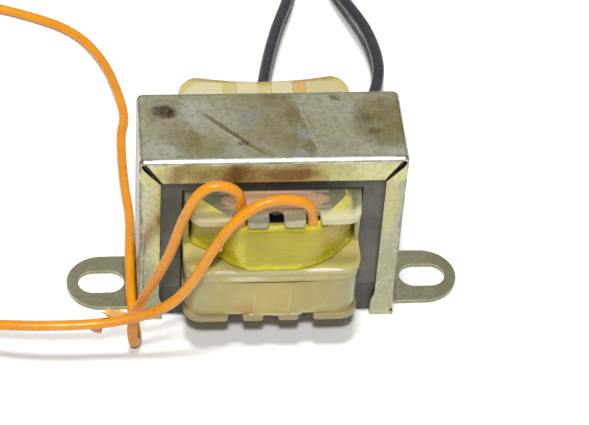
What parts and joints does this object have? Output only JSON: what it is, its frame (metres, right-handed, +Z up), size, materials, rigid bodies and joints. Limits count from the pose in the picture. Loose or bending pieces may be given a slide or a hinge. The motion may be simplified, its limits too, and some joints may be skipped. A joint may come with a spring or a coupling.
{
  "type": "electrical transformer",
  "caption": "Small chassis-mount mains transformer: a laminated E-I core in a folded clamp with slotted feet, a split bobbin with taped windings and flying leads.",
  "frame": {"origin": "midway between the two foot slots, on the undersides of the feet", "axes": "+X along the line of the feet, -Y towards the secondary leads, +Z up"},
  "size_m": [0.1149, 0.115, 0.037],
  "materials": {
    "zinc_plated_steel": "tarnished yellow-passivated zinc plate with stains",
    "silicon_steel": "dull grey punched plates",
    "nylon": "translucent natural nylon, yellowed",
    "yellow_tape": "glossy thin polyester tape",
    "dark_film": "dark blue insulating film",
    "amber_film": "aged translucent strip, brown at its edge",
    "enamelled_copper": "layer-wound enamelled wire",
    "solder": "dull solder",
    "orange_insulation": "soft glossy insulation",
    "black_insulation": "soft satin insulation",
    "tinned_copper": "tinned twisted strands"
  },
  "bodies": {
    "root": {"clamp_frame": "zinc_plated_steel", "e_laminations_yoke_up": "silicon_steel", "e_laminations_yoke_down": "silicon_steel", "i_laminations_bottom": "silicon_steel", "i_laminations_top": "silicon_steel", "bobbin": "nylon", "window_liners": "nylon", "rear_barrier": "amber_film", "primary_cover": "nylon", "primary_winding": "enamelled_copper", "primary_tape": "yellow_tape", "secondary_winding": "enamelled_copper", "secondary_inner_tape": "dark_film", "secondary_tape": "yellow_tape", "primary_splices": "solder", "secondary_splices": "solder", "orange_lead_left": "orange_insulation", "orange_lead_left_bare_end": "tinned_copper", "orange_lead_right": "orange_insulation", "orange_lead_right_bare_end": "tinned_copper", "black_lead_left": "black_insulation", "black_lead_left_bare_end": "tinned_copper", "black_lead_right": "black_insulation", "black_lead_right_bare_end": "tinned_copper"}
  },
  "joints": []
}
